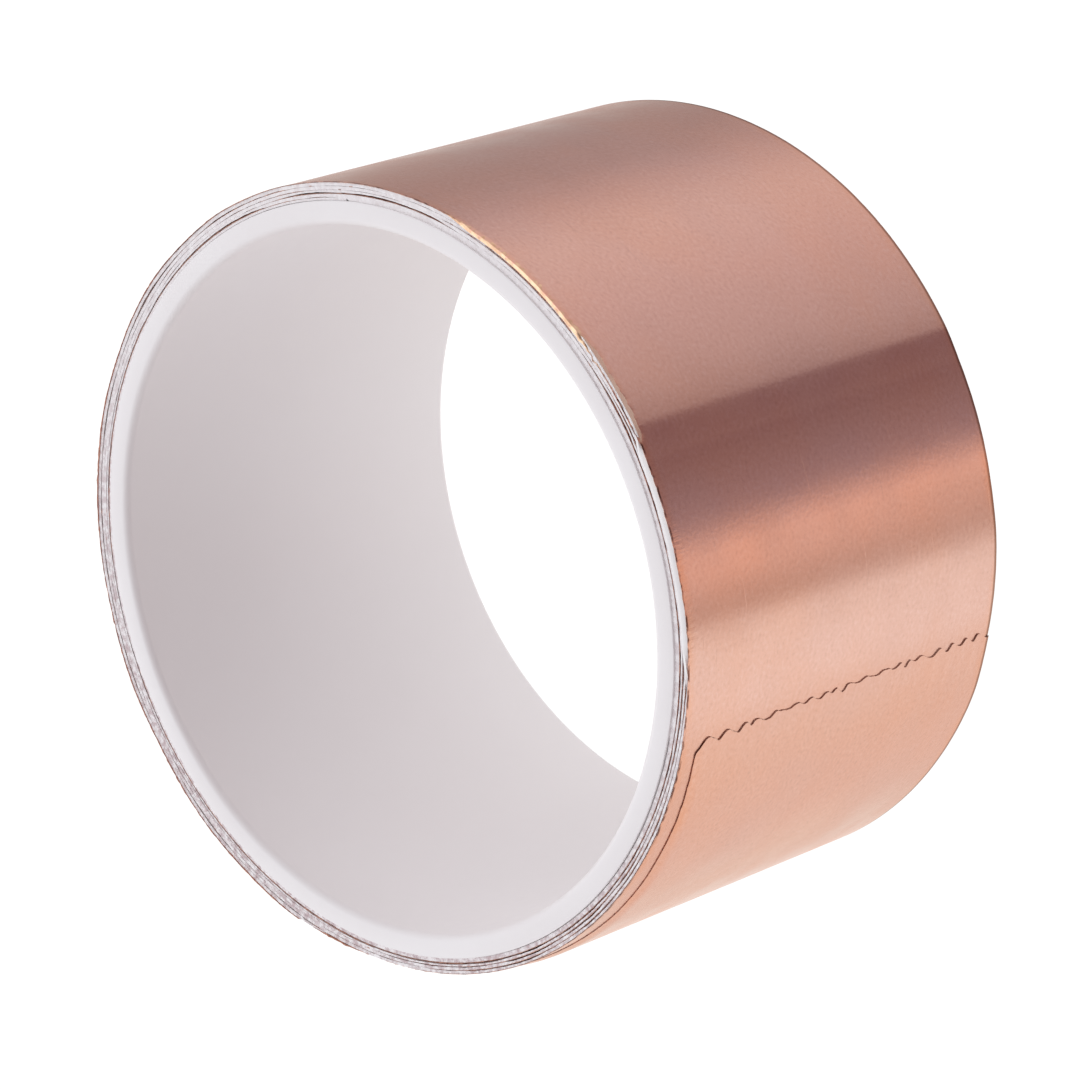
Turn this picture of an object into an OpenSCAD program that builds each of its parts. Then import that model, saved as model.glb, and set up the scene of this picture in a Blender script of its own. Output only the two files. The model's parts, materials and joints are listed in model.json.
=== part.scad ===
/* [Core] */
// Bore diameter of the core
core_bore = 76; // [60:0.5:80]
// Wall thickness of the core
core_wall = 2.6; // [1.5:0.1:6]
// Length of the core along the roll's axis
core_length = 50.4; // [20:0.2:60]
// Radius of the rounding at the two mouths of the bore
mouth_round = 0.8; // [0.2:0.1:1.2]

/* [Tape] */
// Width of the tape
tape_width = 50; // [15:1:55]
// Thickness of the copper foil
foil_thick = 0.05; // [0.04:0.01:0.06]
// Thickness of the adhesive coat on the foil
adhesive_thick = 0.04; // [0.03:0.01:0.05]
// Thickness of the paper release liner
liner_thick = 0.18; // [0.08:0.01:0.2]
// Growth in radius from one turn to the next, with the air between turns
turn_pitch = 0.4; // [0.36:0.02:0.8]
// Whole half turns on the roll
half_turns = 9; // [3:2:21]
// Angle of the last, innermost part of a half turn
inner_sweep = 73; // [40:1:150]

/* [Starter] */
// Thickness of the adhesive patch that holds the inner end to the core
starter_thick = 0.08; // [0.06:0.01:0.2]
// Angle that the patch covers
starter_sweep = 22; // [10:1:35]
// Clearance of the patch from each edge of the tape
starter_inset = 4; // [1:0.5:6]

/* [Free end] */
// Number of links that the free end is divided into
link_count = 8; // [4:1:12]
// Angle of each link
link_angle = 12; // [6:1:14]
// Set-back of the near edge at the torn end
torn_setback = 2.2; // [0.5:0.1:4]
// Widest set-back, where the torn-off sliver was widest
sliver_setback = 2.9; // [0.5:0.1:5]
// Share of the free end, from the torn end, to where the sliver was widest
sliver_share = 0.35; // [0.2:0.05:0.6]
// Number of teeth along the torn end
tooth_count = 18; // [8:1:24]
// Deepest tooth of the torn end
tooth_depth = 1; // [0.4:0.1:2]

/* [Hidden] */
$fn = 128;
tooth_seed = 11;
margin = 1; // how far a cutting solid reaches past what it cuts
overreach = 1.2; // a link's flat outline is this much longer than the link
stack_thick = foil_thick + adhesive_thick + liner_thick;
core_r = core_bore / 2 + core_wall;
tape_low = (core_length - tape_width) / 2;
tape_top = tape_low + tape_width;
half_step = turn_pitch / 2; // each half turn's radius is smaller by this
centre_shift = turn_pitch / 4; // its centre lies this far off the roll's axis
outer_r = core_r + starter_thick + stack_thick + half_turns * half_step;
torn_at = -90; // direction of the torn end, seen from +Z
tail_sweep = link_count * link_angle;
link_list = [for (i = [1:link_count]) i];

foil_color = [0.85, 0.6, 0.5];
adhesive_color = [0.78, 0.72, 0.66];
liner_color = [0.95, 0.94, 0.92];
core_color = [0.9, 0.9, 0.91];

// Depth of a layer's outer face below the foil's outer face
foil_depth = 0;
adhesive_depth = foil_thick;
liner_depth = foil_thick + adhesive_thick;

// The half plane on the left of the direction of angle a
module half_plane(a) {
    reach = 2 * outer_r;
    rotate(a) translate([-reach, 0]) square([2 * reach, reach]);
}

// Part of a ring from angle a, over sweep, up to 180
module arc_band(r_out, thick, a, sweep) {
    intersection() {
        difference() {
            circle(r = r_out);
            circle(r = r_out - thick);
        }
        half_plane(a);
        half_plane(a + sweep - 180);
    }
}

// Half turn k, from 0 outermost: even ones bulge to -X and odd ones to +X
module half_turn(k, depth, thick, from_angle, sweep) {
    side = k % 2 == 0 ? 1 : -1;
    translate([0, -side * centre_shift])
        arc_band(outer_r - k * half_step - depth, thick, side * 90 + from_angle, sweep);
}

// One layer of the spiral, without the free end
module winding(depth, thick) {
    translate([0, 0, tape_low]) linear_extrude(height = tape_width) {
        half_turn(0, depth, thick, 0, 180 - tail_sweep);
        for (k = [1:half_turns - 1]) half_turn(k, depth, thick, 0, 180);
        half_turn(half_turns, depth, thick, 180 - inner_sweep, inner_sweep);
    }
}

// How far the free end's near edge is set back, t from 0 at the root to 1 at the torn end
function setback(t) =
    let (u = (1 - t) / sliver_share)
    u < 1 ? torn_setback + (sliver_setback - torn_setback) * u
          : sliver_setback * (0.5 + 0.5 * cos(180 * (1 - t - sliver_share) / (1 - sliver_share)));
function edge_height(t) = tape_top - setback(t);

// Torn end as points down the tape's width, each a tooth's tip or root
tooth_bites = rands(0.1, 1, tooth_count, tooth_seed);
function tooth_point(j, x_end) =
    let (low = tape_low - margin, high = edge_height(1) + margin)
    [x_end - (j % 2 == 0 ? 0 : tooth_depth * tooth_bites[j]),
     high + (low - high) * j / (tooth_count - 1)];

// Outline of link i, flat, with x along the tape and y along the roll's axis
module link_outline(i) {
    half = outer_r * sin(link_angle / 2) * overreach;
    near_root = edge_height((i - 1) / link_count);
    near_tip = edge_height(i / link_count);
    rise = (near_tip - near_root) / 2 * overreach;
    y_mid = (near_root + near_tip) / 2;
    x_end = outer_r * sin(link_angle / 2);
    intersection() {
        polygon([[-half, tape_low], [half, tape_low], [half, y_mid + rise], [-half, y_mid - rise]]);
        if (i == link_count)
            polygon(concat([[-half, tape_low - margin], [-half, tape_top + margin]],
                           [for (j = [0:tooth_count - 1]) tooth_point(j, x_end)]));
    }
}

// Link i of the free end in one layer: 1 joins the winding and the last one is torn
module tail_link(i, depth, thick) {
    start = torn_at - tail_sweep + (i - 1) * link_angle;
    middle = start + link_angle / 2;
    intersection() {
        translate([0, -centre_shift, tape_low]) linear_extrude(height = tape_width)
            arc_band(outer_r - depth, thick, start, link_angle);
        translate([0, -centre_shift, 0]) rotate([0, 0, middle]) rotate([90, 0, 90])
            linear_extrude(height = outer_r + margin) link_outline(i);
    }
}

module core() {
    mouth_r = core_bore / 2 + mouth_round;
    color(core_color) difference() {
        cylinder(h = core_length, r = core_r);
        translate([0, 0, -margin]) cylinder(h = core_length + 2 * margin, d = core_bore);
        for (end = [0, 1]) translate([0, 0, end * core_length]) mirror([0, 0, end])
            rotate_extrude() difference() {
                translate([core_bore / 2 - margin, -margin])
                    square([mouth_round + margin, mouth_round + margin]);
                translate([mouth_r, mouth_round]) circle(r = mouth_round);
            }
    }
}

module starter_adhesive() {
    inner_r = outer_r - half_turns * half_step - stack_thick;
    color(adhesive_color) difference() {
        translate([0, centre_shift, tape_low + starter_inset])
            rotate([0, 0, 90 - inner_sweep])
                rotate_extrude(angle = starter_sweep)
                    translate([core_r - margin, 0])
                        square([inner_r - core_r + margin, tape_width - 2 * starter_inset]);
        cylinder(h = core_length, r = core_r);
    }
}

module liner_winding() { color(liner_color) winding(liner_depth, liner_thick); }
module adhesive_winding() { color(adhesive_color) winding(adhesive_depth, adhesive_thick); }
module foil_winding() { color(foil_color) winding(foil_depth, foil_thick); }
module liner_tail(i) { color(liner_color) tail_link(i, liner_depth, liner_thick); }
module adhesive_tail(i) { color(adhesive_color) tail_link(i, adhesive_depth, adhesive_thick); }
module foil_tail(i) { color(foil_color) tail_link(i, foil_depth, foil_thick); }

core();
starter_adhesive();
liner_winding();
adhesive_winding();
foil_winding();
for (i = link_list) liner_tail(i);
for (i = link_list) adhesive_tail(i);
for (i = link_list) foil_tail(i);
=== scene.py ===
import json
import math
import random

import bmesh
import bpy
from mathutils import Matrix, Vector, noise

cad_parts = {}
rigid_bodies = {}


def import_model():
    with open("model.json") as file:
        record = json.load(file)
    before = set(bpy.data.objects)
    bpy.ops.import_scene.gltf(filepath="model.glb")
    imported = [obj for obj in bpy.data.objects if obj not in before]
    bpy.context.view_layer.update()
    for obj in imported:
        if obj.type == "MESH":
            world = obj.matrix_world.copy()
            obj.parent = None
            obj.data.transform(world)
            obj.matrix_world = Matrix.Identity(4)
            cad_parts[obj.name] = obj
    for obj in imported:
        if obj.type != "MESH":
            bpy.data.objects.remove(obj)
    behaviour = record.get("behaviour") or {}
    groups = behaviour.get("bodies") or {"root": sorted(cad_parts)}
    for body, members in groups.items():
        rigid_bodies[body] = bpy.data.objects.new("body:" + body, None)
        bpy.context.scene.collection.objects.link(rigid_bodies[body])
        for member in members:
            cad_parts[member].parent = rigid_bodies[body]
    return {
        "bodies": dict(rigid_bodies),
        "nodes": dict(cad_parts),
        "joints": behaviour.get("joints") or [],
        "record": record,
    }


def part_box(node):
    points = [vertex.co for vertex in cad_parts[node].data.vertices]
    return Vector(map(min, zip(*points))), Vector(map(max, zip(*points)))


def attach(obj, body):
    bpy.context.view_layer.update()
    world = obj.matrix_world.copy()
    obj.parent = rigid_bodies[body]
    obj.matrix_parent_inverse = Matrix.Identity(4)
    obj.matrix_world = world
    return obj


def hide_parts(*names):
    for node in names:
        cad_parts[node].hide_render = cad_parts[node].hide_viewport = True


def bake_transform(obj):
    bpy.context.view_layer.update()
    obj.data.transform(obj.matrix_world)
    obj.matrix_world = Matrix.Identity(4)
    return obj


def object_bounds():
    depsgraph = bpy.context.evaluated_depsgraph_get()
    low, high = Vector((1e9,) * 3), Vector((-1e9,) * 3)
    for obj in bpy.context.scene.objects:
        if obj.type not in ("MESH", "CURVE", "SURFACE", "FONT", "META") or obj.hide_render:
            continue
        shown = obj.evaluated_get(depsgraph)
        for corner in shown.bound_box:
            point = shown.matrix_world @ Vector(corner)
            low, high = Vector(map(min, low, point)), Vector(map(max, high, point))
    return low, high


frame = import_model()
cadLow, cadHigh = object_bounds()
mm = 0.001
scene = bpy.context.scene


# the spiral, worked out from the frame's joints, mounts and boxes, apart from three values that
# the frame doesn't hold: where the tape is torn, and how many half turns and degrees there are inside

jointByName = {joint["name"]: joint for joint in frame["joints"]}
mountByName = {mount["name"]: mount for mount in frame["record"]["mounts"]}
linkCount = sum(name.startswith("foil_tail_") for name in frame["nodes"])
peelCount = sum(name.startswith("liner_peel_") for name in frame["bodies"])
firstPeeled = linkCount - peelCount + 1
linkAngle = jointByName["unroll_1"]["range_deg"][1]
tornAngle = -90
tailSweep = linkCount * linkAngle
firstAngle = math.radians(tornAngle - tailSweep)
firstHinge = jointByName["unroll_1"]["pos_m"]
outerRadius = firstHinge[0] / math.cos(firstAngle)
centreShift = outerRadius * math.sin(firstAngle) - firstHinge[1]
halfStep = 2 * centreShift
lastHalf = 9
innerSweep = 73
totalTravel = lastHalf * 180 + innerSweep
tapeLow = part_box("foil_winding")[0].z
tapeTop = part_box("foil_winding")[1].z
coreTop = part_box("core")[1].z
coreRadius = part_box("core")[1].x
boreRadius = mountByName["core_bore"]["dims"]["r_mm"] * mm

# how the wound tape departs from a true spiral; places are degrees clockwise along the near rim
tapeShape = {
    "tornPlace": 113,
    "creasePlace": 67.7,       # one sharp crease across the whole width
    "creaseRamp": 5.0,
    "creaseEnd": 97.0,
    "creaseSlant": 3.0,        # it fades out later towards the far edge
    "creaseDip": 0.20 * mm,
    "creaseBack": 10.0,        # degrees over which the sag behind the crease ends
    "creaseFade": 0.13,        # share of the sag that each turn further in loses
    "creaseLeast": 0.45,       # share of it that is always left
    "waviness": 0.03 * mm,
    "wavesAround": 2.4,        # fineness of the waves round the roll, and across it
    "wavesAcross": 30,
    "edgeWobble": 0.11 * mm,   # unevenness of the wound edges
    "tornSetback": 2.2 * mm,
    "sliverSetback": 2.9 * mm,
    "sliverShare": 0.35,
}


def noiseAt(x, y, z):
    return noise.noise(Vector((x, y, z)))


def smoothStep(value):
    value = min(max(value, 0.0), 1.0)
    return value * value * (3 - 2 * value)


def plateau(value, start, full, fullEnd, end):
    # 0 before start, 1 from full to fullEnd, 0 after end
    return smoothStep((value - start) / (full - start)) * smoothStep((end - value) / (end - fullEnd))


def placeOf(travel):
    return (travel + tapeShape["tornPlace"]) % 360


def dipAt(travel, height):
    # sag behind the crease, felt less by each turn further in
    place = placeOf(travel)
    down = min(max((place - tapeShape["creasePlace"]) / tapeShape["creaseRamp"], 0.0), 1.0)
    slant = tapeShape["creaseSlant"] * (tapeTop - height) / (tapeTop - tapeLow)
    back = smoothStep((tapeShape["creaseEnd"] + slant - place) / tapeShape["creaseBack"])
    share = max(tapeShape["creaseLeast"], 1 - tapeShape["creaseFade"] * travel / 360)
    return tapeShape["creaseDip"] * down * back * share


def setbackAt(travel):
    # how far the free end's near edge lies below the tape's full width
    share = travel / tailSweep
    torn, widest, at = tapeShape["tornSetback"], tapeShape["sliverSetback"], tapeShape["sliverShare"]
    if share < at:
        return torn + (widest - torn) * share / at
    if share < 1:
        return widest * (0.5 + 0.5 * math.cos(math.pi * (share - at) / (1 - at)))
    return 0.0


def wobbleAt(travel, seed):
    slow = noiseAt(travel * 0.09, seed, 0.3)
    fast = noiseAt(travel * 0.75, seed, 4.1)
    return tapeShape["edgeWobble"] * (0.55 * slow + 0.45 * fast)


def outwardAt(travel):
    angle = math.radians(tornAngle - travel)
    return Vector((math.cos(angle), math.sin(angle), 0.0))


def windPoint(travel, depth, height):
    # a point of the wound tape: degrees inward from the torn end, depth below the foil's outer face
    half = min(int(travel // 180), lastHalf)
    side = 1 if half % 2 == 0 else -1
    out = outwardAt(travel)
    around = tapeShape["wavesAround"]
    across = height * tapeShape["wavesAcross"] + travel * 0.01
    relief = noiseAt(out.x * around, out.y * around, across) - 0.6
    radius = outerRadius - half * halfStep - depth - dipAt(travel, height) + tapeShape["waviness"] * relief
    return Vector((radius * out.x, radius * out.y - side * centreShift, height))


# the layers of the tape, and how each one's near edge lies

foilSheet = {
    "depth": 0.0,
    "thickness": 0.05 * mm,
    "bend": 0.15 * mm,
    "rolled": 0.04 * mm,        # the slit edge turns in a little all the way round
    "foldWidth": 0.55 * mm,     # where it is folded over the rim
    "foldPlaces": (24, 31, 50, 58),
    "sunk": 0.05 * mm,
    "tailSunk": 0.0,
    "seed": 1.7,
}
adhesiveSheet = {
    "depth": 0.05 * mm,
    "thickness": 0.04 * mm,
    "bend": 0.15 * mm,
    "rolled": 0.0,
    "foldWidth": 0.0,
    "foldPlaces": (24, 31, 50, 58),
    "sunk": 0.16 * mm,
    "tailSunk": 0.0,
    "seed": 1.7,
}
linerSheet = {
    "depth": 0.09 * mm,
    "thickness": 0.18 * mm,
    "bend": 0.2 * mm,
    "rolled": 0.0,
    "foldWidth": 0.8 * mm,
    "foldPlaces": (66, 72, 98, 108),
    "sunk": 0.05 * mm,
    "tailSunk": 1.3 * mm,       # the torn sliver took more of the paper than of the foil
    "seed": 9.2,
}
crumple = {
    "places": (50, 57, 67, 71),
    "height": 0.42 * mm,
    "reach": 1.2 * mm,
}
rimDetail = {
    "openPlaces": (52, 66, 176, 205),     # where the gaps between turns stay open
    "openShare": 0.62,
    "brokenShare": 0.5,                   # how much the gaps come and go
    # the gap next to the innermost turn is open nearly all the way round, but not at shutPlaces
    "openTurn": (totalTravel - 735, totalTravel - 725, totalTravel - 385, totalTravel - 368),
    "boldShare": 0.85,
    "boldLoss": 0.75,
    "shutPlaces": (20, 30, 54, 66),
    "fluffReach": 0.45 * mm,
    "fluffFill": 0.96,
    "cover": 0.08 * mm,                   # fluffed paper reaches over the foil beside it
    "flarePlaces": (175, 215, 335, 360),  # where the outermost edge stands out a little
    "flare": 0.2 * mm,
    "flareReach": 1.6 * mm,
    "proud": 0.1 * mm,                    # the outer turn's foil stands above its paper
    "sunkFoil": 0.16 * mm,                # further in, it lies below the fluffed paper
    "speckShare": 2.4,
    "foldClear": 0.14 * mm,               # inner turns make room under the folded edges
    "foldRise": 0.1 * mm,
    "tuck": 0.29 * mm,                    # the free end's edges lie down on the turn below
    "tuckReach": 1.5 * mm,
    "tuckRamp": 20,                       # degrees of travel over which it starts
    "paperClear": 1.4,                    # folded paper needs that many times the foil's room
    "clearTo": 2 * 360 + 180,             # travel up to which the turns make room
    "sunkRamp": 14,                       # degrees over which the free end's paper sinks
}


def gapOpenAt(travel):
    # 1 where the gap inside this turn is open at the rim, 0 where fluffed paper closes it
    place = placeOf(travel)
    slow = noiseAt(travel * 0.17, 5.0, 0.6)
    fast = noiseAt(travel * 0.9, 8.0, 0.2)
    broken = slow + 0.5 * fast
    openShare = rimDetail["openShare"] * plateau(place, *rimDetail["openPlaces"])
    boldGap = rimDetail["boldShare"] - rimDetail["boldLoss"] * plateau(place, *rimDetail["shutPlaces"])
    openShare = max(openShare, boldGap * plateau(travel, *rimDetail["openTurn"]))
    return min(max(openShare + rimDetail["brokenShare"] * broken, 0.0), 1.0)


def fluffAt(sheet, travel, along):
    # extra thickness of the paper's slit edge on its inner side
    if sheet is not linerSheet or along > rimDetail["fluffReach"] or travel < tailSweep:
        return 0.0
    gap = 2 * halfStep - sheet["depth"] - sheet["thickness"]
    if travel > totalTravel - 360:
        half = min(int(travel // 180), lastHalf)
        gap = outerRadius - half * halfStep - sheet["depth"] - sheet["thickness"] - coreRadius
        closed = 1.0
    else:
        closed = 1 - gapOpenAt(travel)
        gap += rimDetail["cover"]
    if travel < 360:
        closed *= 1 - plateau(placeOf(travel), *sheet["foldPlaces"])
    fluff = smoothStep(1.3 * (1 - along / rimDetail["fluffReach"]))
    return rimDetail["fluffFill"] * gap * closed * fluff


def nearEdge(sheet, travel):
    # height of the near edge, and the width that is folded over the rim
    place = placeOf(travel)
    outermost = tailSweep < travel < 360
    folded = plateau(place, *sheet["foldPlaces"]) if outermost and sheet["foldWidth"] else 0.0
    fold = sheet["rolled"] + sheet["foldWidth"] * folded
    top = tapeTop - sheet["sunk"] - setbackAt(travel) + wobbleAt(travel, sheet["seed"])
    if travel < tailSweep:
        top -= sheet["tailSunk"] * smoothStep((tailSweep - travel) / rimDetail["sunkRamp"])
    if sheet is foilSheet and outermost:
        top += rimDetail["proud"] * (1 + noiseAt(travel * 1.3, 4.0, 9.0))
    if sheet is not linerSheet and not outermost:
        # slit foil shows in specks where the paper beside it is fluffed
        specks = max(0.0, noiseAt(travel * 1.4, sheet["seed"], 6.0) - 0.1)
        closed = 1 - gapOpenAt(travel - 360)
        top -= rimDetail["sunkFoil"] * closed * (1 - rimDetail["speckShare"] * specks)
    top += folded * (tapeTop + rimDetail["foldRise"] - top)
    covered = plateau(place, *foilSheet["foldPlaces"]) * (sheet is not foilSheet or travel > 360)
    underPaper = rimDetail["paperClear"] * plateau(place, *linerSheet["foldPlaces"])
    covered = max(covered, underPaper * (travel > 360))
    if travel < rimDetail["clearTo"]:
        top -= rimDetail["foldClear"] * covered
    return top, fold


def sheetPoint(sheet, travel, across, press=0.0):
    # across runs along the sheet's width: 0 at the near edge, 1 at the far edge
    top, fold = nearEdge(sheet, travel)
    bend = sheet["bend"]
    bendStart = top - bend * math.sin(min(fold / bend, math.pi / 2))
    low = tapeLow + 0.5 * tapeShape["edgeWobble"] + 0.4 * wobbleAt(travel, sheet["seed"] + 30)
    along = across * (fold + bendStart - low)
    if along >= fold:
        height, inward = bendStart - (along - fold), 0.0
    else:
        past = fold - along
        turned = min(past / bend, math.pi / 2)
        height = bendStart + bend * math.sin(turned)
        inward = bend * (1 - math.cos(turned)) + max(0.0, past - bend * math.pi / 2)
    nearRim = smoothStep(1 - along / crumple["reach"])
    rough = plateau(placeOf(travel), *crumple["places"]) * nearRim
    if rough and sheet is foilSheet and tailSweep < travel < 360:
        wrinkle = noiseAt(travel * 1.1, along * 900, 2.0)
        height += rough * 0.3 * crumple["height"] * noiseAt(travel * 0.9, 7.0, along * 500)
        inward += rough * crumple["height"] * (0.8 + 0.9 * wrinkle) * nearRim
    if travel < tailSweep and sheet is not linerSheet:
        tucked = smoothStep(1 - along / rimDetail["tuckReach"])
        tucked *= smoothStep((tailSweep - travel) / rimDetail["tuckRamp"])
        press = max(press, rimDetail["tuck"] * tucked)
    if tailSweep < travel < 420:
        flare = plateau(placeOf(travel), *rimDetail["flarePlaces"])
        flare *= smoothStep(1 - along / rimDetail["flareReach"])
        inward -= rimDetail["flare"] * flare * (0.6 + noiseAt(travel * 0.08, 11.0, 1.0))
    return windPoint(travel, sheet["depth"] + press, height) - outwardAt(travel) * inward, along


def unevenShare(share, power):
    # spreads grid lines towards both edges
    if share < 0.5:
        return 0.5 * (2 * share) ** power
    return 1 - 0.5 * (2 - 2 * share) ** power


def newPiece(name, mesh, *finishes):
    piece = bpy.data.objects.new(name, mesh)
    scene.collection.objects.link(piece)
    for finish in finishes:
        mesh.materials.append(finish)
    return piece


sharpSheetAngle = math.radians(38)


def thicken(piece, sheet, outerPlaces):
    # a solid sheet, grown inward from the outer face, with its cut edges in the second finish;
    # the paper is then thicker where it is fluffed and thinner where it is pressed
    solid = piece.modifiers.new("thickness", "SOLIDIFY")
    solid.thickness = sheet["thickness"]
    solid.offset = -1
    solid.use_even_offset = True
    solid.material_offset_rim = 1
    evaluated = piece.evaluated_get(bpy.context.evaluated_depsgraph_get())
    finished = bpy.data.meshes.new_from_object(evaluated)
    piece.modifiers.clear()
    piece.data = finished
    innerFace = finished.vertices[len(outerPlaces):]
    for corner, (travel, along, press) in zip(innerFace, outerPlaces):
        squeezed = max(0.0, press - tapeGap) if sheet is linerSheet else 0.0
        corner.co -= outwardAt(travel) * (fluffAt(sheet, travel, along) - squeezed)
    finished.set_sharp_from_angle(angle=sharpSheetAngle)


def makeSheet(name, sheet, start, end, rows, columns, power, finish, edgeFinish, tear=None):
    # start and end are travels; tear moves the start inward by an amount that changes across the width
    grid = bmesh.new()
    wrap = grid.loops.layers.uv.new("wrap")
    bmesh.ops.create_grid(grid, x_segments=rows, y_segments=columns, size=0.5)
    cornerPlace = {}
    outerPlaces = []
    for corner in grid.verts:
        across = unevenShare(0.5 + corner.co.y, power)
        cut = start + (math.degrees(tear(across) / outerRadius) if tear else 0.0)
        travel = cut + (end - cut) * (0.5 + corner.co.x)
        press = 0.0
        if tear:
            fromCut = math.radians(travel - cut) * outerRadius
            press = tornEnd["press"] * smoothStep(1 - fromCut / tornEnd["pressReach"])
        cornerPlace[corner] = (math.radians(travel) * outerRadius, across * (tapeTop - tapeLow))
        corner.co, along = sheetPoint(sheet, travel, across, press)
        outerPlaces.append((travel, along, press))
    for face in grid.faces:
        face.smooth = True
        for loop in face.loops:
            loop[wrap].uv = cornerPlace[loop.vert]
    mesh = bpy.data.meshes.new(name)
    grid.to_mesh(mesh)
    grid.free()
    piece = newPiece(name, mesh, finish, edgeFinish)
    thicken(piece, sheet, outerPlaces)
    return piece


# the ragged torn end

tornEnd = {
    "teethSeed": 5,
    "firstTooth": -1 * mm,      # the first tooth starts beyond the near edge
    "spacing": (1.5 * mm, 3.6 * mm),
    "depth": (0.3 * mm, 0.8 * mm),
    "peak": 0.6,                # share of a tooth's width at which it is deepest
    "rough": 0.15 * mm,
    "roughFineness": 1500,
    "cornerRadius": 1.6 * mm,
    "press": 0.27 * mm,         # the end is rubbed down on the turn below
    "pressReach": 8.0 * mm,
    "linerShort": 0.03 * mm,    # the paper tore a little shorter than the foil
}
tapeWidth = tapeTop - tapeLow
tapeGap = 2 * halfStep - linerSheet["depth"] - linerSheet["thickness"]
teethDice = random.Random(tornEnd["teethSeed"])
teeth = []
toothStart = tornEnd["firstTooth"]
while toothStart < tapeWidth:
    toothSize = teethDice.uniform(*tornEnd["spacing"])
    teeth.append((toothStart, toothSize, teethDice.uniform(*tornEnd["depth"])))
    toothStart += toothSize


def tearAt(across):
    # how far the torn edge lies back at this place across the width
    place = across * tapeWidth
    peak = tornEnd["peak"]
    back = tornEnd["rough"] * noiseAt(place * tornEnd["roughFineness"], 3.0, 1.0)
    for start, size, depth in teeth:
        share = (place - start) / size
        if 0 <= share < 1:
            back += depth * smoothStep(share / peak if share < peak else (1 - share) / (1 - peak))
    radius = tornEnd["cornerRadius"]
    if place < radius:
        back += radius - math.sqrt(radius * radius - (radius - place) ** 2)
    return back


def linerTearAt(across):
    # the paper's near edge lies lower, so its width meets the foil's teeth further along
    skipped = linerSheet["tailSunk"] / (tapeWidth - tapeShape["tornSetback"])
    return tornEnd["linerShort"] + tearAt(skipped + (1 - skipped) * across)


# finishes

def newFinish(name):
    finish = bpy.data.materials.new(name)
    finish.use_nodes = True
    return finish, finish.node_tree, finish.node_tree.nodes["Principled BSDF"]


def addNode(tree, kind, **settings):
    node = tree.nodes.new(kind)
    for setting, value in settings.items():
        setattr(node, setting, value)
    return node


def objectPlace(tree):
    return addNode(tree, "ShaderNodeTexCoord").outputs["Object"]


def splitVector(tree, source):
    split = addNode(tree, "ShaderNodeSeparateXYZ")
    tree.links.new(source, split.inputs["Vector"])
    return split.outputs


def stretched(tree, source, scale, turn=0.0):
    # pattern coordinates, turned and then scaled by its own amount each way
    mapping = addNode(tree, "ShaderNodeMapping")
    mapping.inputs["Scale"].default_value = scale
    mapping.inputs["Rotation"].default_value = (0, 0, turn)
    tree.links.new(source, mapping.inputs["Vector"])
    return mapping.outputs["Vector"]


def cloudy(tree, source, scale, detail=3.0, rough=0.55):
    pattern = addNode(tree, "ShaderNodeTexNoise")
    pattern.inputs["Scale"].default_value = scale
    pattern.inputs["Detail"].default_value = detail
    pattern.inputs["Roughness"].default_value = rough
    tree.links.new(source, pattern.inputs["Vector"])
    return pattern.outputs["Fac"]


def ranged(tree, source, fromLow, fromHigh, toLow, toHigh):
    change = addNode(tree, "ShaderNodeMapRange", interpolation_type="SMOOTHSTEP")
    sockets = ("From Min", "From Max", "To Min", "To Max")
    for socket, value in zip(sockets, (fromLow, fromHigh, toLow, toHigh)):
        change.inputs[socket].default_value = value
    tree.links.new(source, change.inputs["Value"])
    return change.outputs["Result"]


def combined(tree, operation, first, second):
    maths = addNode(tree, "ShaderNodeMath", operation=operation)
    for socket, value in zip(maths.inputs, (first, second)):
        if isinstance(value, float):
            socket.default_value = value
        else:
            tree.links.new(value, socket)
    return maths.outputs["Value"]


def blended(tree, share, first, second):
    mix = addNode(tree, "ShaderNodeMix", data_type="RGBA")
    tree.links.new(share, mix.inputs["Factor"])
    colourSockets = [socket for socket in mix.inputs if socket.type == "RGBA"]
    for socket, value in zip(colourSockets, (first, second)):
        if isinstance(value, tuple):
            socket.default_value = (*value, 1)
        else:
            tree.links.new(value, socket)
    return [socket for socket in mix.outputs if socket.type == "RGBA"][0]


def bumped(tree, height, distance, strength=1.0, under=None):
    relief = addNode(tree, "ShaderNodeBump")
    relief.inputs["Strength"].default_value = strength
    relief.inputs["Distance"].default_value = distance
    tree.links.new(height, relief.inputs["Height"])
    if under:
        tree.links.new(under, relief.inputs["Normal"])
    return relief.outputs["Normal"]


copperLook = {
    "colour": (0.88, 0.53, 0.42),
    "pinkish": (0.86, 0.545, 0.455),
    "orange": (0.90, 0.47, 0.31),
    "orangeNear": 1.6 * mm,     # how far the warm tint reaches from the near and far edges
    "orangeFar": 1.8 * mm,
    "grainLight": (0.97, 0.70, 0.63),
    "grainDark": (0.62, 0.36, 0.29),
    "roughness": (0.19, 0.27),
    "anisotropy": 0.8,
    # painted highlight colours for the folded edge, bright gold with darker specks
    "foldHighlight": (0.98, 0.70, 0.47),
    "foldHighlightDark": (0.60, 0.33, 0.21),
    "foldHighlightFrom": 270,            # travel over which the folded edge gets a painted highlight
    "foldHighlightTo": 309,
    "tarnish": (0.36, 0.19, 0.13),
    # painted shade colour for a thin line along the outer turn's near slit edge
    "shadeLineColour": (0.13, 0.045, 0.035),
    "shadeLineFrom": 205,            # travel from which painted shade darkens the outer turn's slit edge in specks
    "grain": 0.009 * mm,
    "rolling": 0.004 * mm,
    "scratches": 0.02 * mm,
    "burr": 0.018 * mm,
}


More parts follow.
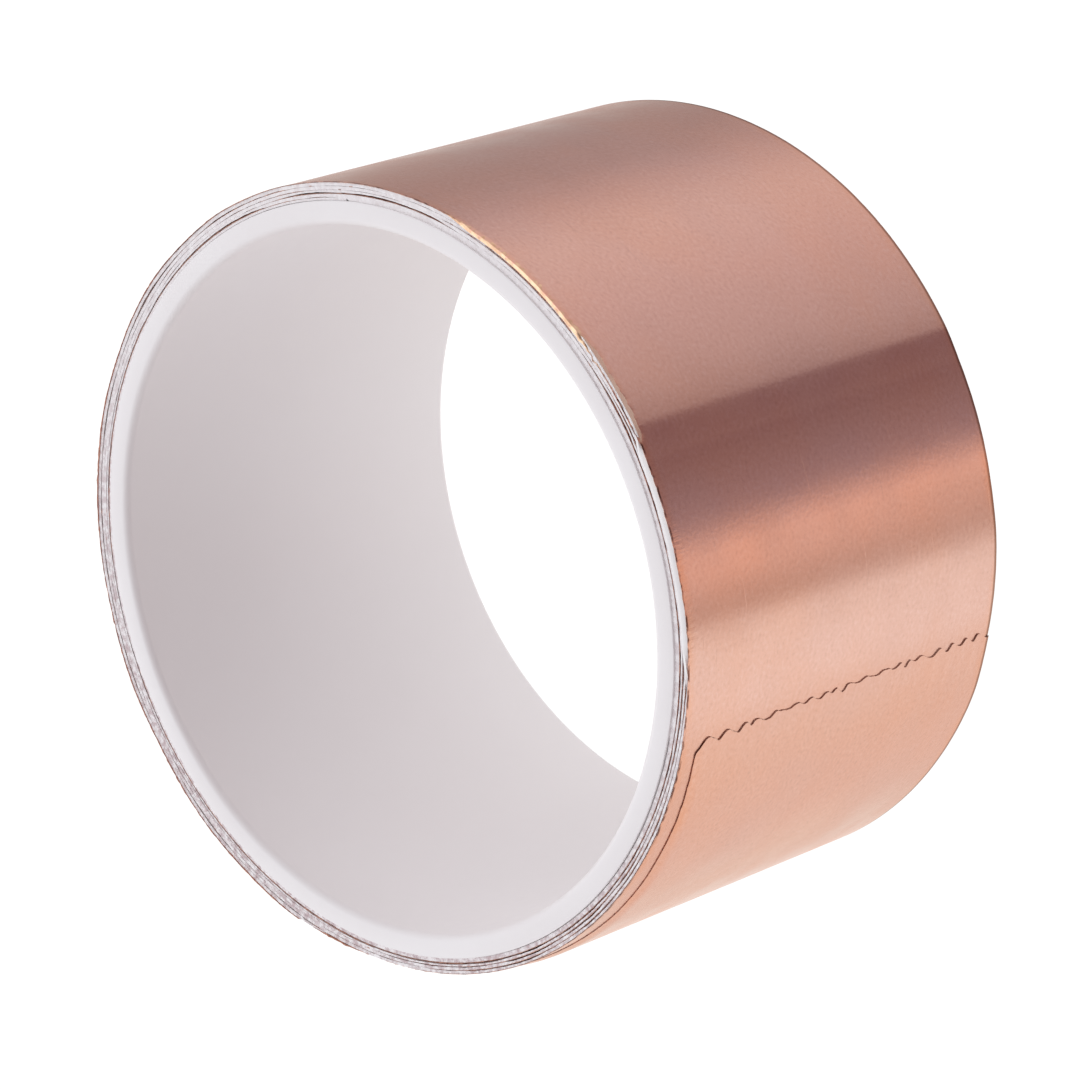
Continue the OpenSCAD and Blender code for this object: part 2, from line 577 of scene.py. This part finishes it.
def copperFinish():
    look = copperLook
    finish, tree, shader = newFinish("rolledCopper")
    wrap = addNode(tree, "ShaderNodeUVMap", uv_map="wrap").outputs["UV"]
    length, across = splitVector(tree, wrap)[:2]
    tone = ranged(tree, cloudy(tree, wrap, 55.0, 4.0), 0.35, 0.65, 0.0, 1.0)
    colour = blended(tree, tone, look["colour"], look["pinkish"])
    nearWarm = ranged(tree, across, 0.0, look["orangeNear"], 0.85, 0.0)
    farWarm = ranged(tree, across, tapeWidth - look["orangeFar"], tapeWidth, 0.0, 0.7)
    patches = cloudy(tree, stretched(tree, wrap, (160, 420, 1)), 1.0, 3.0)
    patchy = ranged(tree, patches, 0.3, 0.65, 0.15, 1.0)
    edgeShare = combined(tree, "MULTIPLY", combined(tree, "ADD", nearWarm, farWarm), patchy)
    colour = blended(tree, edgeShare, colour, look["orange"])
    grain = cloudy(tree, stretched(tree, wrap, (1900, 2200, 1), 0.25), 1.0, 2.5)
    colour = blended(tree, ranged(tree, grain, 0.45, 0.75, 0.0, 0.3), colour, look["grainLight"])
    colour = blended(tree, ranged(tree, grain, 0.28, 0.46, 0.22, 0.0), colour, look["grainDark"])
    tarnish = ranged(tree, across, tapeWidth - 0.5 * mm, tapeWidth - 0.2 * mm, 0.0, 0.9)
    colour = blended(tree, tarnish, colour, look["tarnish"])
    speckNoise = cloudy(tree, stretched(tree, wrap, (750, 1400, 1)), 1.0, 3.0)
    specks = ranged(tree, speckNoise, 0.4, 0.6, 0.0, 1.0)
    # painted shade: near-black specks in a thin band beside the outer turn's near slit edge
    shadeLine = combined(tree, "MULTIPLY", specks, ranged(tree, across, 0.14 * mm, 0.34 * mm, 0.95, 0.0))
    shadeLineStart = math.radians(look["shadeLineFrom"]) * outerRadius
    shadeLineFade = ranged(tree, length, shadeLineStart, shadeLineStart + 9 * mm, 0.0, 1.0)
    shadeLine = combined(tree, "MULTIPLY", shadeLine, shadeLineFade)
    colour = blended(tree, shadeLine, colour, look["shadeLineColour"])
    # painted highlight: the folded edge is given a bright gold colour for the light it catches, mottled
    # darker by the specks, with a ragged limit across the width
    foldHighlightStart, foldHighlightEnd = (math.radians(look[name]) * outerRadius for name in ("foldHighlightFrom", "foldHighlightTo"))
    foldHighlight = combined(tree, "MULTIPLY", ranged(tree, length, foldHighlightStart, foldHighlightStart + 4 * mm, 0.0, 1.0),
                    ranged(tree, length, foldHighlightEnd - 3 * mm, foldHighlightEnd, 1.0, 0.0))
    raggedNoise = cloudy(tree, stretched(tree, wrap, (1500, 900, 1)), 1.0)
    ragged = ranged(tree, raggedNoise, 0.3, 0.7, -0.3 * mm, 0.5 * mm)
    fromEdge = combined(tree, "ADD", across, ragged)
    foldHighlight = combined(tree, "MULTIPLY", foldHighlight, ranged(tree, fromEdge, 0.5 * mm, 0.75 * mm, 1.0, 0.0))
    foldHighlightTone = blended(tree, combined(tree, "MULTIPLY", specks, 0.6), look["foldHighlight"], look["foldHighlightDark"])
    colour = blended(tree, foldHighlight, colour, foldHighlightTone)
    tree.links.new(colour, shader.inputs["Base Color"])
    dull = ranged(tree, cloudy(tree, wrap, 130.0, 4.0), 0.3, 0.7, *look["roughness"])
    tree.links.new(dull, shader.inputs["Roughness"])
    shader.inputs["Metallic"].default_value = 1.0
    shader.inputs["Anisotropic"].default_value = look["anisotropy"]
    shader.inputs["Anisotropic Rotation"].default_value = 0.25
    tangent = addNode(tree, "ShaderNodeTangent", direction_type="UV_MAP", uv_map="wrap")
    tree.links.new(tangent.outputs["Tangent"], shader.inputs["Tangent"])
    rolling = cloudy(tree, stretched(tree, wrap, (70, 5200, 1)), 1.0, 2.0)
    firstScratch = cloudy(tree, stretched(tree, wrap, (90, 3000, 1), 0.62), 1.0, 1.0)
    otherScratch = cloudy(tree, stretched(tree, wrap, (110, 2600, 1), -0.35), 1.0, 1.0)
    scratches = combined(tree, "MAXIMUM", ranged(tree, firstScratch, 0.70, 0.78, 0.0, 1.0),
                         ranged(tree, otherScratch, 0.71, 0.79, 0.0, 1.0))
    normal = bumped(tree, grain, look["grain"])
    normal = bumped(tree, rolling, look["rolling"], under=normal)
    normal = bumped(tree, scratches, look["scratches"], strength=0.5, under=normal)
    burr = combined(tree, "MULTIPLY", cloudy(tree, stretched(tree, wrap, (2600, 500, 1), 0.2), 1.0, 2.0),
                    ranged(tree, across, 0.3 * mm, 2.2 * mm, 1.0, 0.0))
    normal = bumped(tree, burr, look["burr"], under=normal)
    tree.links.new(normal, shader.inputs["Normal"])
    return finish


foilEdgeLook = {
    # dark is partly painted shade: the unlit slit edge is given a dark brown
    "dark": (0.24, 0.10, 0.08),
    "bright": (0.60, 0.33, 0.24),
    "fineness": 1400.0,
    "metal": 0.7,
    "roughness": (0.6, 0.35),
    "relief": 0.03 * mm,
}


def foilEdgeFinish():
    # the slit edge of the foil, dull and brownish with bright flecks; its dark brown is partly the edge's
    # own dull finish and partly painted shade for an edge that catches little light
    look = foilEdgeLook
    finish, tree, shader = newFinish("slitFoilEdge")
    place = objectPlace(tree)
    flecks = ranged(tree, cloudy(tree, place, look["fineness"], 3.0), 0.35, 0.68, 0.0, 1.0)
    colour = blended(tree, flecks, look["dark"], look["bright"])
    tree.links.new(colour, shader.inputs["Base Color"])
    shader.inputs["Metallic"].default_value = look["metal"]
    tree.links.new(ranged(tree, flecks, 0.0, 1.0, *look["roughness"]), shader.inputs["Roughness"])
    tree.links.new(bumped(tree, flecks, look["relief"]), shader.inputs["Normal"])
    return finish


adhesiveLook = {
    "colour": (0.62, 0.38, 0.28),
    "hazy": (0.72, 0.50, 0.39),
    "fineness": 260.0,
    "metal": 0.35,
    "roughness": (0.22, 0.38),
    "coat": 0.5,
    "coatRoughness": 0.15,
    "relief": 0.02 * mm,
}


def adhesiveFinish():
    # clear acrylic coat with copper showing through it
    look = adhesiveLook
    finish, tree, shader = newFinish("clearAdhesive")
    place = objectPlace(tree)
    haze = ranged(tree, cloudy(tree, place, look["fineness"], 4.0), 0.3, 0.7, 0.0, 1.0)
    colour = blended(tree, haze, look["colour"], look["hazy"])
    tree.links.new(colour, shader.inputs["Base Color"])
    tree.links.new(ranged(tree, haze, 0.0, 1.0, *look["roughness"]), shader.inputs["Roughness"])
    shader.inputs["Metallic"].default_value = look["metal"]
    shader.inputs["Coat Weight"].default_value = look["coat"]
    shader.inputs["Coat Roughness"].default_value = look["coatRoughness"]
    tree.links.new(bumped(tree, haze, look["relief"]), shader.inputs["Normal"])
    return finish


linerLook = {
    "colour": (0.94, 0.92, 0.925),
    "pale": (0.97, 0.955, 0.955),
    "fibre": (0.80, 0.74, 0.73),
    "fineness": 900.0,
    "roughness": (0.42, 0.6),
    "relief": 0.02 * mm,
}


def linerFinish():
    # white release paper: faint fibres under a smooth coating
    look = linerLook
    finish, tree, shader = newFinish("releasePaper")
    place = objectPlace(tree)
    fibres = cloudy(tree, place, look["fineness"], 5.0, 0.7)
    clouds = cloudy(tree, place, 90.0, 3.0)
    cloudShare = ranged(tree, clouds, 0.35, 0.65, 0.0, 1.0)
    colour = blended(tree, cloudShare, look["colour"], look["pale"])
    colour = blended(tree, ranged(tree, fibres, 0.62, 0.8, 0.0, 0.5), colour, look["fibre"])
    tree.links.new(colour, shader.inputs["Base Color"])
    tree.links.new(ranged(tree, fibres, 0.3, 0.7, *look["roughness"]), shader.inputs["Roughness"])
    tree.links.new(bumped(tree, fibres, look["relief"]), shader.inputs["Normal"])
    return finish


paperEdgeLook = {
    "colour": (0.93, 0.90, 0.91),
    "stainAndShade": (0.58, 0.46, 0.475),
    "stainAndShadeSides": (1.0, 0.25),  # how strong the stain and painted shade are on the side of -X and on that of +X
    "sideShare": 0.9,
    "fineness": 1500.0,
    "roughness": 0.8,
    "relief": 0.035 * mm,
}


def paperEdgeFinish():
    # the slit paper edge, fluffed and stained in specks by the copper beside it; painted shade makes the
    # specks stronger on the -X side
    look = paperEdgeLook
    finish, tree, shader = newFinish("slitPaperEdge")
    place = objectPlace(tree)
    sideWidth = look["sideShare"] * outerRadius
    # painted shade: the stained specks are strongest on the -X side of the roll and weaker towards +X
    side = ranged(tree, splitVector(tree, place)["X"], -sideWidth, sideWidth, *look["stainAndShadeSides"])
    specks = ranged(tree, cloudy(tree, place, look["fineness"], 4.0, 0.65), 0.36, 0.66, 0.0, 1.0)
    stainAndShade = combined(tree, "MULTIPLY", side, specks)
    colour = blended(tree, stainAndShade, look["colour"], look["stainAndShade"])
    tree.links.new(colour, shader.inputs["Base Color"])
    shader.inputs["Roughness"].default_value = look["roughness"]
    tree.links.new(bumped(tree, specks, look["relief"]), shader.inputs["Normal"])
    return finish


coreLook = {
    "colour": (0.90, 0.878, 0.888),
    "shade": (0.872, 0.842, 0.85),
    # bore: painted shade, a darker and pinker colour for the inside of the tube
    "bore": (0.84, 0.80, 0.805),
    "boreShadeShare": 0.75,
    "roughness": (0.4, 0.52),
    "lines": 0.012 * mm,        # faint lines along the tube, and a finer grain
    "grain": 0.006 * mm,
    "mouthRound": 0.8 * mm,
    "mouthSegments": 7,
    "outerRound": 0.1 * mm,
    "outerSegments": 3,
    "sawn": 0.05 * mm,          # unevenness of the near end, and how far down it reaches
    "sawnDepth": 1.5 * mm,
    "steps": 288,
    "sharpAngle": 40,
}


def coreFinish():
    # satin white plastic, slightly cloudy, with faint lines from extrusion
    look = coreLook
    finish, tree, shader = newFinish("satinWhitePlastic")
    place = objectPlace(tree)
    clouds = ranged(tree, cloudy(tree, place, 42.0, 4.0), 0.3, 0.7, 0.0, 1.0)
    colour = blended(tree, clouds, look["shade"], look["colour"])
    # painted shade: the bore is darker and pinker than the rim, for the dimmer light inside it
    fromAxis = addNode(tree, "ShaderNodeVectorMath", operation="LENGTH")
    tree.links.new(stretched(tree, place, (1, 1, 0)), fromAxis.inputs[0])
    mouthEnd = boreRadius + look["mouthRound"]
    boreShadeMask = ranged(tree, fromAxis.outputs["Value"], boreRadius, mouthEnd, look["boreShadeShare"], 0.0)
    colour = blended(tree, boreShadeMask, colour, look["bore"])
    tree.links.new(colour, shader.inputs["Base Color"])
    fine = cloudy(tree, place, 700.0, 3.0)
    tree.links.new(ranged(tree, fine, 0.3, 0.7, *look["roughness"]), shader.inputs["Roughness"])
    lines = cloudy(tree, stretched(tree, place, (260, 260, 12)), 1.0, 2.0)
    normal = bumped(tree, lines, look["lines"])
    normal = bumped(tree, fine, look["grain"], under=normal)
    tree.links.new(normal, shader.inputs["Normal"])
    return finish


copper = copperFinish()
foilEdge = foilEdgeFinish()
adhesive = adhesiveFinish()
liner = linerFinish()
paperEdge = paperEdgeFinish()
coreWhite = coreFinish()
print("finishes ready")


# the core tube, with rounded mouths

def makeCore():
    look = coreLook
    tube = bmesh.new()
    outline = ((boreRadius, 0), (coreRadius, 0), (coreRadius, coreTop), (boreRadius, coreTop))
    corners = [tube.verts.new((radius, 0, height)) for radius, height in outline]
    tube.faces.new(corners)
    inner = [corner for corner in corners if corner.co.x < 0.5 * (boreRadius + coreRadius)]
    bmesh.ops.bevel(tube, geom=inner, affect="VERTICES", offset=look["mouthRound"],
                    segments=look["mouthSegments"], profile=0.5, material=-1)
    outer = [corner for corner in tube.verts if corner.co.x > coreRadius - 1e-6]
    bmesh.ops.bevel(tube, geom=outer, affect="VERTICES", offset=look["outerRound"],
                    segments=look["outerSegments"], profile=0.5, material=-1)
    bmesh.ops.delete(tube, geom=list(tube.faces), context="FACES_ONLY")
    bmesh.ops.spin(tube, geom=list(tube.verts) + list(tube.edges), cent=(0, 0, 0), axis=(0, 0, 1),
                   angle=math.tau, steps=look["steps"], use_merge=True)
    bmesh.ops.remove_doubles(tube, verts=tube.verts, dist=1e-7)
    bmesh.ops.recalc_face_normals(tube, faces=tube.faces)
    for face in tube.faces:
        face.smooth = True
    for corner in tube.verts:
        # the near end is sawn, not perfectly flat
        if corner.co.z > coreTop - look["sawnDepth"]:
            out = corner.co.normalized()
            corner.co.z -= look["sawn"] * (1 + noiseAt(out.x * 6, out.y * 6, 1.0))
    mesh = bpy.data.meshes.new("core_tube")
    tube.to_mesh(mesh)
    tube.free()
    mesh.set_sharp_from_angle(angle=math.radians(look["sharpAngle"]))
    piece = newPiece("core_tube", mesh, coreWhite)
    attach(piece, "roll")
    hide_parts("core")
    return piece


makeCore()
starter = frame["nodes"]["starter_adhesive"]
starter.data.materials.clear()
starter.data.materials.append(adhesive)
print("core made")


# the wound turns: one fine outer turn and the coarser rest, in three layers

windingDetail = {
    "outerEnd": tailSweep + linkAngle / 2 + 360,
    "foilGrid": (720, 42),      # rows along the outer turn and columns across the tape
    "adhesiveGrid": (360, 12),
    "linerGrid": (540, 24),
    "innerStep": 0.8,           # degrees to a row further in
    "innerColumns": 10,
    "power": 2.5,               # how closely the columns crowd at the edges
}


def makeWinding(word, sheet, finish, edgeFinish):
    start = tailSweep + linkAngle / 2
    middle = windingDetail["outerEnd"]
    power = windingDetail["power"]
    outerRows, outerColumns = windingDetail[word + "Grid"]
    innerRows = int((totalTravel - middle) / windingDetail["innerStep"])
    outer = makeSheet(word + "_outer_turn", sheet, start, middle, outerRows, outerColumns, power,
                      finish, edgeFinish)
    inner = makeSheet(word + "_inner_turns", sheet, middle, totalTravel, innerRows,
                      windingDetail["innerColumns"], power, finish, edgeFinish)
    for piece in (outer, inner):
        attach(piece, "roll")
        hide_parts(word + "_winding")


makeWinding("foil", foilSheet, copper, foilEdge)
makeWinding("adhesive", adhesiveSheet, adhesive, adhesive)
makeWinding("liner", linerSheet, liner, paperEdge)
print("windings made")


# the free end, in pieces that each span one joint

tailDetail = {
    "rows": 24,
    "lastRows": 44,
    "columns": 42,
    "lastColumns": 190,         # enough for the teeth of the torn end
    "hiddenColumns": 18,        # for the two layers under the foil
    "power": 2.5,
    "lastPower": 1.35,
}


def makeTailPiece(word, index, sheet, finish, edgeFinish, columns, tear):
    hinge = tailSweep - (index - 1) * linkAngle
    inner, outer = hinge + linkAngle / 2, hinge - linkAngle / 2
    name = f"{word}_free_end_{index}"
    if index == linkCount:
        piece = makeSheet(name, sheet, 0, inner, tailDetail["lastRows"], tailDetail["lastColumns"],
                          tailDetail["lastPower"], finish, edgeFinish, tear)
    else:
        piece = makeSheet(name, sheet, outer, inner, tailDetail["rows"], columns, tailDetail["power"],
                          finish, edgeFinish)
    # where the paper leaves the foil the joint itself is taken as the start, elsewhere the piece's inner
    # end; these points are only worked out here and are not used
    bendFrom = hinge if sheet is linerSheet and index == firstPeeled else inner
    windPoint(bendFrom, 0, 0)
    windPoint(outer, 0, 0)
    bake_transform(piece)
    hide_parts(f"{word}_tail_{index}")


for index in range(1, linkCount + 1):
    makeTailPiece("foil", index, foilSheet, copper, foilEdge,
                  tailDetail["columns"], tearAt)
    makeTailPiece("adhesive", index, adhesiveSheet, adhesive, adhesive,
                  tailDetail["hiddenColumns"], tearAt)
    # at the torn end adhesive is smeared over the paper's edge
    makeTailPiece("liner", index, linerSheet, liner, adhesive if index == linkCount else paperEdge,
                  tailDetail["hiddenColumns"], linerTearAt)
print("free end made")


# studio: a white floor and a soft surround with the darker and warmer bands that copper mirrors

studio = {
    "floorSize": 6.0,
    "floorWhite": 1.0,
    "skyColour": (1.27, 1.28, 1.31),
    "skyFrom": 0.35,                      # sine of the elevation at which the bands end
    "dimColour": (0.2, 0.16, 0.17),       # a dim patch of sky, high on one side
    "dimFrom": (0.34, -0.76, 0.55),
    "dimReach": (0.35, 0.88),             # cosine of the angle at its rim and at its full depth
    "bands": {
        # place along the near rim that mirrors the band, and the band's colour
        -12: (1.00, 1.00, 1.00), -7: (1.00, 1.00, 1.00), -3: (0.66, 0.64, 0.62), 3: (0.47, 0.44, 0.43),
        13: (0.40, 0.35, 0.36), 21: (0.41, 0.36, 0.37), 28: (0.57, 0.50, 0.52), 36: (0.75, 0.67, 0.66),
        49: (0.67, 0.58, 0.59), 62: (0.54, 0.47, 0.48), 67: (0.42, 0.35, 0.36), 70: (0.22, 0.14, 0.16),
        75: (0.28, 0.20, 0.21), 83: (0.36, 0.29, 0.33), 88: (0.93, 0.69, 0.59), 93: (0.56, 0.43, 0.38),
        96: (0.62, 0.50, 0.44), 100: (0.95, 0.92, 0.89), 112: (1.00, 0.99, 0.98), 114: (0.90, 0.80, 0.71),
        136: (0.86, 0.75, 0.69), 150: (0.90, 0.83, 0.75), 158: (1.00, 0.98, 0.94),
    },
}
cameraSet = {
    "azimuth": 36.31,
    "elevation": 44.987,
    "roll": -108.503,
    "aim": Vector((6.10, -11.05, -12.53)) * mm,   # from the centre of the near end
    "distance": 579.44 * mm,
    "lens": 183.4,
    "sensor": 36,
}


def makeFloor():
    plate = bmesh.new()
    bmesh.ops.create_grid(plate, x_segments=8, y_segments=8, size=studio["floorSize"] / 2)
    bmesh.ops.translate(plate, verts=plate.verts, vec=(0, 0, cadLow.z - 0.2 * mm))
    mesh = bpy.data.meshes.new("floor")
    plate.to_mesh(mesh)
    plate.free()
    finish, tree, shader = newFinish("paleFloor")
    shader.inputs["Base Color"].default_value = (0.1, 0.1, 0.1, 1)
    shader.inputs["Roughness"].default_value = 1.0
    shader.inputs["Specular IOR Level"].default_value = 0.0
    shader.inputs["Emission Color"].default_value = (1, 1, 1, 1)
    shader.inputs["Emission Strength"].default_value = studio["floorWhite"]
    floor = newPiece("floor", mesh, finish)
    floor.visible_glossy = False      # the copper mirrors the surround and not the floor


def makeSurround():
    world = bpy.data.worlds.new("surround")
    scene.world = world
    world.use_nodes = True
    tree = world.node_tree
    tree.nodes.clear()
    direction = addNode(tree, "ShaderNodeTexCoord").outputs["Generated"]
    around = addNode(tree, "ShaderNodeTexGradient", gradient_type="RADIAL")
    tree.links.new(direction, around.inputs["Vector"])
    ramp = addNode(tree, "ShaderNodeValToRGB")
    tree.links.new(around.outputs["Fac"], ramp.inputs["Fac"])
    # a wall at this place turns the camera's line of sight to twice its own bearing
    wallZero = tornAngle + tapeShape["tornPlace"]
    sight = cameraSet["azimuth"] - 90
    stops = sorted((((2 * (wallZero - place) - sight) / 360 + 0.5) % 1, colour)
                   for place, colour in studio["bands"].items())
    elements = ramp.color_ramp.elements
    lastColour, firstColour = stops[-1][1], stops[0][1]
    seam = stops[0][0] / (stops[0][0] + 1 - stops[-1][0])
    wrapColour = tuple(seam * late + (1 - seam) * early for late, early in zip(lastColour, firstColour))
    for element in list(elements):
        element.color = (*wrapColour, 1)
    for position, colour in stops:
        elements.new(position).color = (*colour, 1)
    upward = ranged(tree, splitVector(tree, direction)["Z"], 0.0, studio["skyFrom"], 0.0, 1.0)
    towards = addNode(tree, "ShaderNodeVectorMath", operation="DOT_PRODUCT")
    towards.inputs[1].default_value = studio["dimFrom"]
    tree.links.new(direction, towards.inputs[0])
    dim = ranged(tree, towards.outputs["Value"], *studio["dimReach"], 0.0, 1.0)
    sky = blended(tree, dim, studio["skyColour"], studio["dimColour"])
    mixed = blended(tree, upward, ramp.outputs["Color"], sky)
    isCamera = addNode(tree, "ShaderNodeLightPath").outputs["Is Camera Ray"]
    shown = blended(tree, isCamera, mixed, (1.0, 1.0, 1.0))
    background = addNode(tree, "ShaderNodeBackground")
    tree.links.new(shown, background.inputs["Color"])
    output = addNode(tree, "ShaderNodeOutputWorld")
    tree.links.new(background.outputs["Background"], output.inputs["Surface"])


def makeCamera():
    camera = bpy.data.objects.new("camera", bpy.data.cameras.new("camera"))
    scene.collection.objects.link(camera)
    azimuth, elevation = (math.radians(cameraSet[name]) for name in ("azimuth", "elevation"))
    back = Vector((math.sin(azimuth) * math.cos(elevation), -math.cos(azimuth) * math.cos(elevation),
                   math.sin(elevation)))
    aim = Vector((0, 0, coreTop)) + cameraSet["aim"]
    look = (-back).to_track_quat("-Z", "Y").to_matrix().to_4x4()
    roll = Matrix.Rotation(math.radians(cameraSet["roll"]), 4, "Z")
    camera.matrix_world = Matrix.Translation(aim + back * cameraSet["distance"]) @ look @ roll
    camera.data.lens = cameraSet["lens"]
    camera.data.sensor_width = cameraSet["sensor"]
    camera.data.clip_start, camera.data.clip_end = 0.01, 20
    scene.camera = camera


makeFloor()
makeSurround()
makeCamera()
scene.view_settings.view_transform = "Standard"
print("studio ready")
